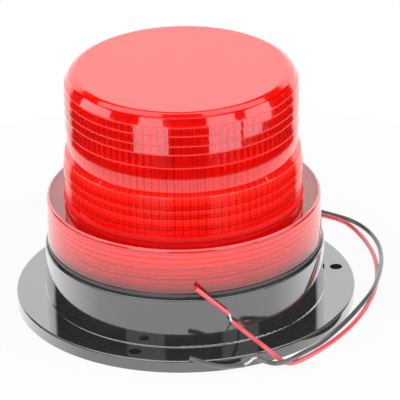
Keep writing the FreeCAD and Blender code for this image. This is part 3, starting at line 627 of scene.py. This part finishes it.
def hollow_sleeve(name, line, radius, bore, material):
    """Cut end of insulation: an outer and an inner ring carried along the line, joined at both ends."""
    outer = carried_profile(line, np.full((len(line), SLEEVE_COLUMNS), radius), SLEEVE_COLUMNS)
    inner = carried_profile(line, np.full((len(line), SLEEVE_COLUMNS), bore), SLEEVE_COLUMNS)
    points = np.concatenate([outer, inner[::-1], outer[:1]])
    return mesh_piece(name, points, grid_faces(len(points), SLEEVE_COLUMNS), material, SLEEVE_SHARP)


def conductor_route(route, sleeve):
    """Control points of the bare strands: straight out of the insulation and into the end sleeve."""
    end, before = np.array(route[-1]), np.array(route[-2])
    mouth, inside = np.array(sleeve[0]), np.array(sleeve[1])
    lead_way, sleeve_way = unit(end - before), unit(inside - mouth)
    return [end - lead_way * STRAND_STRAIGHT / 2, end + lead_way * STRAND_STRAIGHT,
            mouth - sleeve_way * STRAND_STRAIGHT, mouth + sleeve_way * STRAND_GRIP]


def painted_lens_glow():
    """Stops of the painted glow that the clear plastic is given, by height: a share of the lens height and a
    colour.
    Each row gives a height in millimetres, the painted red there and the painted pale sheen in it. The lower
    bands get the most painted glow, and each of them is painted brighter towards its top."""
    rows = [
        (COLLAR_FOOT, 0.2, 0.0),
        (COLLAR_MIDDLE, 0.4, 0.0),
        (COLLAR_TOP - 1.7, 0.65, 0.0),
        (COLLAR_TOP - 1.2, 0.1, 0.0),
        (COLLAR_TOP + 0.2, 0.2, 0.0),
        (COLLAR_TOP + 2.8, 0.8, 0.0),
    ]
    for foot, top in zip(LOWER_LINES[1:], LOWER_LINES[2:]):
        rows += [
            (foot - 0.3, 0.45, 0.01),
            (foot + 0.6, 0.4, 0.0),
            (foot + 1.8, 0.68, 0.004),
            (top - 0.9, 0.85, 0.045),
        ]
    rows += [
        (WAIST_FOOT, 0.52, 0.003),
        (WAIST_FOOT + 6.0, 0.46, 0.003),
        (WAIST_TOP, 0.26, 0.0),
        (UPPER_LINES[1], 0.2, 0.0),
        (UPPER_LINES[-1], 0.32, 0.0),
        (BEVEL_TOP, 0.34, 0.0),
        (LENS_TOP - 0.9, 1.3, 0.0),
        (LENS_TOP, 1.3, 0.0),
    ]
    return [((height - COLLAR_FOOT) / (LENS_TOP - COLLAR_FOOT),
             (red, pale + GREEN_IN_RED * red, BLUE_IN_PALE * pale)) for height, red, pale in rows]


def between(up, low, high):
    """1 from the height low to the height high, in millimetres, and 0 elsewhere."""
    return (up > low * MM) * (up < high * MM)


def wider(spread, radius):
    """1 where spread, the square of the distance from the axis, is past the radius in millimetres, else 0."""
    return spread > (radius * MM) ** 2


def near_lines(up, lines, reach):
    """1 on each of the heights in lines, falling evenly to 0 at the distance reach, all in millimetres."""
    total = 0.0
    for line in lines:
        away = up.maths("ABSOLUTE", up - line * MM, 0.0)
        total = total + away.maths("MAXIMUM", 1 - away / (reach * MM), 0.0)
    return total


def lens_material(settings):
    """Clear red plastic: refracting, with a hard gloss, faint flow clouds from moulding and a painted glow.
    The flutes and the thread behind the wall show as painted stripes in the gloss, in the tint and in the
    painted glow.
    The flat ring has painted shade, the collar's edge a painted highlight, the lines between the upper bands
    painted highlights, the lower bands' feet a painted shadow, and the foot of the dome is dull."""
    def build(tree):
        clouds = tree.noise(35.0, 3.0)
        across, along, up = tree.split("ShaderNodeSeparateXYZ", tree.place())
        spread = across * across + along * along
        turn = along.maths("ARCTAN2", along, across) / FULL_TURN

        inner = 1 - wider(spread, COLLAR_TOP_RADIUS - COLLAR_ROUND)
        # The flat ring: painted shade in the tint, and its painted glow cut down to RING_GLOW.
        ring = between(up, RING_LOW, RING_HIGH) * inner
        ring_painted_shade = ring * tree.graded(spread, (DOME_FOOT_RADIUS * MM) ** 2, (COLLAR_BORE * MM) ** 2,
                                       PAINTED_RING_SHADE_NEAR, PAINTED_RING_SHADE_FAR)
        # The collar's top edge: a painted highlight in the glow.
        edge = between(up, EDGE_LOW, RING_HIGH) * (1 - inner)
        # Painted shade in the tint just under the collar's edge.
        painted_shade_under_edge = near_lines(up, [EDGE_SHADE], EDGE_SHADE_REACH) * (1 - inner)
        dull = (up > DULL_LOW * MM) * inner * tree.graded(up, DULL_FADE * MM, DULL_HIGH * MM, 1.0, 0.0)
        waist = between(up, WAIST_FOOT, WAIST_TOP)
        lower = between(up, RING_HIGH, LOWER_LINES[-1])
        # Painted highlights: bright lines in the glow between the upper bands.
        lines = near_lines(up, UPPER_LINES, LINE_REACH)
        # Painted shadow under each step of the lower bands, in the tint and in the glow.
        feet = near_lines(up, [line + BAND_FOOT_RISE for line in LOWER_LINES[1:-1]], BAND_FOOT_REACH)
        # The outer surfaces get the full painted glow, the inner ones only the share INSIDE_GLOW.
        dome_skin = wider(spread, DOME_WALL) * (up > DOME_GLOW_LOW * MM)
        skin = dome_skin + wider(spread, COLLAR_WALL) + (up > BEVEL_TOP * MM)
        outside = INSIDE_GLOW + (1 - INSIDE_GLOW) * skin.maths("MINIMUM", skin, 1.0)

        # Painted stripes for the flutes seen through the wall: painted shade in the tint, less painted glow
        # and less coat.
        flutes = turn * settings.flute_count + FLUTE_SHIFT
        rib = 1 - flutes.wave(0.5)
        rib_squared = rib * rib
        fine = flutes.wave(0.25)
        stripes = FLUTE_LEVEL + FLUTE_NARROW * rib_squared * rib_squared - FLUTE_FINE * fine * fine
        painted_flute_stripes = between(up, FLUTES_LOW, UPPER_LINES[-1]) * stripes * (1 - LINE_CALM * lines)
        # Painted stripes for the thread seen through the collar, fading downwards, with a painted pale sheen
        # where they are bright.
        threads = (up - THREAD_SHOWN * MM) / settings.thread_pitch - turn
        thread = threads.wave(0.5)
        collar = (up < EDGE_LOW * MM) * tree.graded(up, THREAD_FADE * MM, THREAD_FULL * MM, THREAD_FAINT, 1.0)
        thread_painted_sheen = PAINTED_THREAD_SHEEN * collar * thread * thread * outside
        gap = painted_flute_stripes + THREAD_STRIPE * (collar * (1 - thread))

        # Painted light: a glow by height, given to the emission of the plastic.
        height = (up - COLLAR_FOOT * MM) / ((LENS_TOP - COLLAR_FOOT) * MM)
        glow = tree.node("ShaderNodeValToRGB", {"stops": painted_lens_glow()}, {0: height})
        red, green, blue = (
            (painted_base_glow + line * lines) * (gain - stripe * gap) * outside + bright * edge
            for painted_base_glow, line, gain, stripe, bright in zip(
                tree.split("ShaderNodeSeparateColor", glow), PAINTED_LINE_HIGHLIGHT, GLOW_GAIN, GLOW_STRIPE, PAINTED_EDGE_HIGHLIGHT))
        # Painted shade: less glow at the feet of the lower bands, and only the low painted glow RING_GLOW on
        # the flat ring.
        red = red * (1 - FOOT_SHADE * feet) * (1 - ring) + RING_GLOW * ring
        lit = tree.node("ShaderNodeCombineColor", {}, {0: red, 1: green + thread_painted_sheen, 2: blue + thread_painted_sheen})
        # Painted shade: the tint goes towards its darker copy on the flat ring, under the collar's edge, at
        # the feet and in the flute stripes.
        shade = ring_painted_shade + PAINTED_FLUTE_SHADE * painted_flute_stripes + PAINTED_FOOT_SHADOW * feet + PAINTED_EDGE_SHADE * painted_shade_under_edge
        return {
            "Base Color": tree.mixed(shade, settings.tint, scaled(settings.tint, PAINTED_SHADE_TINT)),
            "Roughness": 0.1 + 0.04 * clouds + 0.8 * dull,
            "IOR": 1.49, "Transmission Weight": 1.0,
            "Emission Color": lit, "Emission Strength": 0.5,
            "Coat Weight": (COAT - COAT_STRIPE * gap - COAT_WAIST * waist - COAT_LOWER * lower) * (1 - dull),
            "Coat IOR": 1.9, "Coat Roughness": 0.02,
        }
    return principled("red_clear_plastic", build)


def housing_material(colour):
    """Black gloss moulding, faintly cloudy, with a few pale specks of dust."""
    def build(tree):
        clouds = tree.noise(55.0, 4.0)
        away, middle = (
            tree.node("ShaderNodeTexVoronoi", {}, {"Vector": tree.place(), "Scale": SPECK_SCALE}, out=name)
            for name in ("Distance", "Position"))
        picked = tree.node("ShaderNodeTexWhiteNoise", {}, {"Vector": middle})
        specks = (away < SPECK_SIZE) * (picked > SPECK_PICK)
        plain = tree.mixed(clouds, scaled(colour, 0.8), scaled(colour, 1.25))
        return {
            "Base Color": tree.mixed(specks, plain, (0.35, 0.35, 0.33)),
            "Roughness": 0.06 + 0.06 * clouds + 0.4 * specks,
            "IOR": 2.0, "Coat Weight": 1.0, "Coat IOR": 1.8, "Coat Roughness": 0.03,
        }
    return principled("black_gloss_moulding", build, POLISH)


def rubber_material(colour):
    """Rubber with a dull bloom and a fine moulded grain."""
    def build(tree):
        clouds = tree.noise(120.0, 4.0)
        grain = tree.noise(2500.0, 2.0)
        return {
            "Base Color": tree.mixed(clouds, scaled(colour, 0.75), scaled(colour, 1.4)),
            "Roughness": 0.32 + 0.15 * clouds, "IOR": 1.9,
            "Normal": tree.bump(grain, 0.15, GRAIN_DEPTH),
        }
    return principled("gasket_rubber", build)


def insulation_material(name, colour):
    """Soft plastic insulation with cloudy handling marks, a fine grain and a gloss."""
    def build(tree):
        clouds = tree.noise(180.0, 3.0)
        grain = tree.noise(1800.0, 2.0)
        return {
            "Base Color": tree.mixed(clouds, scaled(colour, 0.85), scaled(colour, 1.12)),
            "Roughness": 0.2 + 0.15 * clouds, "IOR": 1.55,
            "Coat Weight": 0.9, "Coat IOR": 1.8, "Coat Roughness": 0.05,
            "Normal": tree.bump(grain, 0.08, GRAIN_DEPTH),
        }
    return principled(name, build)


def moulded_material(name, colour, roughness, cloud_scale=90.0, bump=0.1):
    """Plain moulded or coated part: cloudy colour and gloss, and a fine grain."""
    def build(tree):
        clouds = tree.noise(cloud_scale, 3.0)
        grain = tree.noise(cloud_scale * 14, 2.0)
        return {
            "Base Color": tree.mixed(clouds, scaled(colour, 0.85), scaled(colour, 1.15)),
            "Roughness": roughness * (0.8 + 0.4 * clouds),
            "Normal": tree.bump(grain, bump, GRAIN_DEPTH),
        }
    return principled(name, build)


def metal_material(name, colour, roughness, metallic=1.0):
    """Bare metal with fine drawn streaks along its height."""
    def build(tree):
        stretched = tree.node("ShaderNodeMapping", {}, {"Vector": tree.place(), "Scale": (1.0, 1.0, 0.08)})
        streaks = tree.noise(1400.0, 3.0, stretched)
        return {
            "Base Color": tree.mixed(streaks, scaled(colour, 0.85), scaled(colour, 1.1)),
            "Roughness": roughness * (0.7 + 0.6 * streaks), "Metallic": metallic,
            "Normal": tree.bump(streaks, 0.08, FINE_GRAIN_DEPTH),
        }
    return principled(name, build)


def board_material(colour):
    """Green circuit board: copper tracks show as paler lines under the lacquer."""
    def build(tree):
        tracks = tree.node("ShaderNodeTexBrick", {"offset": 0.35}, {
            "Vector": tree.place(), "Scale": 130.0, "Mortar Size": 0.06}, out="Fac")
        return {
            "Base Color": tree.mixed(tracks, colour, (0.16, 0.42, 0.16)),
            "Roughness": 0.3 + 0.15 * tree.noise(200.0),
            "Normal": tree.bump(tracks, 0.3, FINE_GRAIN_DEPTH),
        }
    return principled("board_lacquer", build)


def winding_material(colour):
    """Enamelled copper wire wound side by side: fine ridges across the height, with painted shade in the
    grooves between the turns.
    """
    def build(tree):
        turns = tree.node("ShaderNodeTexWave", {"bands_direction": "Z"}, {
            "Vector": tree.place(), "Scale": 420.0, "Distortion": 0.4}, out="Fac")
        # Painted shade: the colour is darker in the grooves between the turns.
        return {
            "Base Color": tree.mixed(turns, scaled(colour, 0.35), colour),
            "Roughness": 0.28 + 0.1 * turns, "Metallic": 0.85,
            "Normal": tree.bump(turns, 0.6, GRAIN_DEPTH),
        }
    return principled("copper_turns", build)


def glass_material():
    """Clear lamp glass, faintly cloudy."""
    def build(tree):
        clouds = tree.noise(900.0)
        return {
            "Base Color": tree.mixed(clouds, (0.93, 0.96, 0.97), (0.99, 1.0, 1.0)),
            "Roughness": 0.01 + 0.03 * clouds, "IOR": 1.47, "Transmission Weight": 1.0,
        }
    return principled("lamp_glass", build)


def seen_directly(tree):
    """1 for rays from the camera, from mirrors and through glass, 0 for light on matt surfaces."""
    camera, glossy, through = (tree.node("ShaderNodeLightPath", out=name) for name in (
        "Is Camera Ray", "Is Glossy Ray", "Is Transmission Ray"))
    return camera.maths("MINIMUM", camera + glossy + through, 1.0)


class OBJECT_OT_light_stage(bpy.types.Operator):
    """Sets the camera, the round white table, the soft lamps and the white room"""

    bl_idname = "object.warning_light_stage"
    bl_label = "Stage"

    def execute(self, context):
        settings = context.scene.warning_light_stage
        self.set_camera(context, settings)
        self.set_table(settings)
        self.set_room(context, settings)
        self.set_lamps()
        context.scene.view_settings.view_transform = "Standard"
        return {"FINISHED"}

    def set_camera(self, context, settings):
        """The camera looks along +Y and down by its elevation at a point beside the light's middle."""
        tilt = Matrix.Rotation(math.pi / 2 - settings.elevation, 4, "X")
        turn = tilt @ Matrix.Rotation(-settings.roll, 4, "Z")
        back = Vector((0, -math.cos(settings.elevation), math.sin(settings.elevation)))
        data = bpy.data.cameras.new("camera")
        data.lens = settings.focal
        data.sensor_width = SENSOR_WIDTH
        camera = placed("camera", data)
        camera.matrix_world = Matrix.Translation(Vector(CAMERA_AIM) * MM + back * settings.distance) @ turn
        context.scene.camera = camera

    def set_table(self, settings):
        """A disc whose rows go from the middle outwards. It is matt to light, and outside the flange's foot
        it is white to the eye and to mirrors. Under the flange it stays dark, as the screw holes show."""
        rows = np.array(TABLE_ROWS)
        material = bpy.data.materials.new("white_table")
        material.use_nodes = True
        tree = Tree(material.node_tree)
        matt = tree.node("ShaderNodeBsdfDiffuse", {}, {"Color": (TABLE_GREY, TABLE_GREY, TABLE_GREY, 1.0)})
        white = tree.node("ShaderNodeEmission", {}, {"Strength": 1.0})
        spot = tree.node("ShaderNodeVectorMath", {"operation": "LENGTH"}, {0: tree.place()}, out="Value")
        open_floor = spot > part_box("base_housing")[1][0] - FOOT_INSET * MM
        share = seen_directly(tree) * TABLE_WHITE * open_floor
        surface = tree.node("ShaderNodeMixShader", {}, {0: share, 1: matt, 2: white})
        tree.node("ShaderNodeOutputMaterial", {}, {"Surface": surface})
        points = turned_points(rows[:, :1] * settings.table_radius, rows[:, 1:], TABLE_COLUMNS)
        table = mesh_piece("table", points, grid_faces(len(points), TABLE_COLUMNS), material)

    def set_room(self, context, settings):
        """White room that lights all sides evenly. Gloss sees it dim, as a studio is behind its lamps, with a
        bright wall behind the light and two bright bands overhead."""
        world = bpy.data.worlds.new("white_room")
        world.use_nodes = True
        context.scene.world = world
        tree = Tree(world.node_tree)
        way = tree.node("ShaderNodeTexCoord", out="Generated")
        across, backwards, upwards = tree.split("ShaderNodeSeparateXYZ", way)
        sideways = across.maths("ABSOLUTE", across, 0.0)
        wall_edge = WALL_FROM + WALL_LOW_FURTHER * (upwards < WALL_LOW)
        wall = tree.node("ShaderNodeMapRange", {"interpolation_type": "SMOOTHSTEP"}, {
            "Value": backwards - wall_edge, "From Min": 0.0, "From Max": WALL_SOFT})
        rear_band = (upwards > REAR_LOW - REAR_LOW_DROP * sideways) * (upwards < REAR_HIGH)
        rear_part = (backwards > REAR_SLOPE * sideways) * (backwards > REAR_FROM)
        front_band = (upwards > FRONT_LOW) * (upwards < FRONT_HIGH) * (backwards < FRONT_FROM)
        bright = wall * (upwards < WALL_TOP) + rear_band * rear_part + front_band
        mirror = tree.node("ShaderNodeLightPath", out="Is Glossy Ray")
        plain = settings.room_light + (1 - settings.room_light) * seen_directly(tree)
        level = plain * (1 - (1 - DIM_ROOM) * (mirror * (1 - bright)))
        shade = tree.node("ShaderNodeBackground", {}, {"Color": (1.0, 1.0, 1.0, 1.0), "Strength": level})
        tree.node("ShaderNodeOutputWorld", {}, {"Surface": shade})

    def set_lamps(self):
        """Soft lamps round the table, turned to their angle and then tilted up. Those of BASE_LAMPS light
        only the base housing, the others light all but it, and the one overhead shows in gloss alone."""
        all_but_base, base_alone = (self.linked_to_base(state) for state in ("EXCLUDE", "INCLUDE"))
        for name, angle, tilt, width, low, high, level in LAMPS:
            data = bpy.data.lights.new(name, "AREA")
            data.shape = "RECTANGLE"
            data.color = LAMP_COLOUR
            data.size = width
            data.size_y = high - low
            data.energy = level * math.pi * width * (high - low)
            lamp = placed(name, data)
            turn = Matrix.Rotation(math.radians(angle), 4, "Z") @ Matrix.Rotation(math.radians(-tilt), 4, "X")
            stand = Matrix.Translation((0, -LAMP_DISTANCE, (low + high) / 2))
            lamp.matrix_world = turn @ stand @ Matrix.Rotation(math.pi / 2, 4, "X")
            lamp.visible_camera = False
            lamp.visible_diffuse = name != MIRRORED_LAMP
            receivers = base_alone if name.startswith(BASE_LAMPS) else all_but_base
            lamp.light_linking.receiver_collection = receivers

    def linked_to_base(self, state):
        """A collection for lamps that light only the base housing, or all but it."""
        linked = bpy.data.collections.new("base_" + state.lower())
        linked.objects.link(frame["nodes"]["base_housing"])
        linked.collection_objects[0].light_linking.link_state = state
        return linked


class OBJECT_OT_light_leads(bpy.types.Operator):
    """Lays the two loose leads with their bare strands and pulled-off end sleeves"""

    bl_idname = "object.warning_light_leads"
    bl_label = "Leads"

    def execute(self, context):
        settings = context.scene.warning_light_leads
        tinned = metal_material("tinned_copper", (0.9, 0.9, 0.9), 0.3, 0.4)
        self.lay(settings, "black", BLACK_ROUTE, BLACK_SLEEVE, settings.black, tinned, BLACK_LENGTH)
        self.lay(settings, "red", RED_ROUTE, RED_SLEEVE, settings.red, tinned, RED_LENGTH)
        return {"FINISHED"}

    def lay(self, settings, colour_name, route, sleeve, colour, tinned, length):
        """One lead: its insulation, its bare strands and the sleeve on them, which replace their CAD
        solids."""
        node = colour_name + "_lead"
        material = insulation_material(colour_name + "_insulation_plastic", colour)
        lead = nurbs_curve(colour_name + "_loose_lead", route, settings.diameter / 2)
        lead.data.materials.append(material)
        strands = strand_bundle(colour_name + "_bare_strands", spline_points(conductor_route(route, sleeve)),
                                settings.strand_diameter / 2, tinned)
        cut_end = hollow_sleeve(colour_name + "_cut_end", spline_points(sleeve), settings.diameter / 2,
                                SLEEVE_BORE * MM, material)
        for piece, stands_for, slot in ((lead, node, colour_name + "_insulation"),
                                        (strands, node + "_conductor", "tinned_strands"),
                                        (cut_end, node + "_end_sleeve", colour_name + "_insulation")):
            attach(piece, "base")
            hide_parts(stands_for)
        dress(node + "_inner", material)


class OBJECT_OT_light_lens(bpy.types.Operator):
    """Turns the red lens: threaded collar, banded dome and flat top, fluted inside"""

    bl_idname = "object.warning_light_lens"
    bl_label = "Lens"

    def execute(self, context):
        settings = context.scene.warning_light_lens
        radius, height, helix_rows, shift = lens_grid(settings)
        points = turned_points(radius, height, LENS_COLUMNS)
        faces = grid_faces(len(points), LENS_COLUMNS, helix_rows, shift)
        lens = mesh_piece("red_lens_shell", points, faces, lens_material(settings), LENS_SHARP)
        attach(lens, "lens")
        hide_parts("lens")
        return {"FINISHED"}


class OBJECT_OT_light_base(bpy.types.Operator):
    """Gives the base housing and the gasket their finishes"""

    bl_idname = "object.warning_light_base"
    bl_label = "Base and gasket"

    def execute(self, context):
        settings = context.scene.warning_light_base
        rubber = rubber_material(settings.gasket)
        dress("base_housing", housing_material(settings.housing))
        dress("lens_gasket", rubber)
        dress("wire_grommet", rubber)
        return {"FINISHED"}


class OBJECT_OT_light_works(bpy.types.Operator):
    """Gives the lamp, the deck and the parts on the driver board their finishes"""

    bl_idname = "object.warning_light_works"
    bl_label = "Inner works"

    def execute(self, context):
        finishes = {
            "board_green": board_material((0.05, 0.25, 0.1)),
            "plain_steel": metal_material("plated_steel", (0.7, 0.7, 0.72), 0.3),
            "bare_aluminium": metal_material("drawn_aluminium", (0.75, 0.75, 0.77), 0.38),
            "white_deck": moulded_material("white_gloss_deck", (0.9, 0.9, 0.88), 0.18, 40.0, 0.03),
            "white_ceramic": moulded_material("pressed_ceramic", (0.9, 0.89, 0.86), 0.5, 150.0, 0.2),
            "clear_glass": glass_material(),
            "capacitor_sleeve": moulded_material("shrunk_sleeve", (0.03, 0.05, 0.16), 0.2, 120.0, 0.05),
            "ferrite": moulded_material("sintered_ferrite", (0.08, 0.08, 0.085), 0.6, 400.0, 0.4),
            "bobbin_plastic": moulded_material("bobbin_moulding", (0.82, 0.79, 0.67), 0.45),
            "copper_winding": winding_material((0.72, 0.36, 0.16)),
            "black_moulding": moulded_material("epoxy_moulding", (0.03, 0.03, 0.03), 0.5, 300.0, 0.25),
            "film_casing": moulded_material("dipped_casing", (0.7, 0.22, 0.05), 0.2, 160.0, 0.1),
            "resistor_coat": moulded_material("resistor_lacquer", (0.75, 0.62, 0.42), 0.25, 500.0, 0.1),
        }
        for row in frame["record"]["subparts"]:
            if row["material_slot"] in finishes:
                dress(row["node"], finishes[row["material_slot"]])
        return {"FINISHED"}


class VIEW3D_PT_warning_light(bpy.types.Panel):
    """Lists the steps that build the warning light's looks"""

    bl_label = "Warning Light"
    bl_space_type = "VIEW_3D"
    bl_region_type = "UI"
    bl_category = "Warning Light"

    def draw(self, context):
        for step in STEPS:
            self.layout.operator(step.bl_idname)
        for name in SETTINGS:
            group = getattr(context.scene, name)
            for value in group.__annotations__:
                self.layout.prop(group, value)


STEPS = (OBJECT_OT_light_stage, OBJECT_OT_light_leads, OBJECT_OT_light_lens, OBJECT_OT_light_base,
         OBJECT_OT_light_works)
SETTINGS = {"warning_light_lens": LensSettings, "warning_light_leads": LeadSettings,
            "warning_light_base": BaseSettings, "warning_light_stage": StageSettings}
CLASSES = (*SETTINGS.values(), *STEPS, VIEW3D_PT_warning_light)


def register():
    """Adds the settings, the steps and the panel."""
    for kind in CLASSES:
        bpy.utils.register_class(kind)
    for name, kind in SETTINGS.items():
        setattr(bpy.types.Scene, name, PointerProperty(type=kind))


def unregister():
    """Takes out what register added."""
    for name in SETTINGS:
        delattr(bpy.types.Scene, name)
    for kind in reversed(CLASSES):
        bpy.utils.unregister_class(kind)


def main():
    """Runs the steps in order."""
    register()
    bpy.ops.object.warning_light_stage()
    bpy.ops.object.warning_light_leads()
    bpy.ops.object.warning_light_lens()
    bpy.ops.object.warning_light_base()
    bpy.ops.object.warning_light_works()


if __name__ == "__main__":
    main()
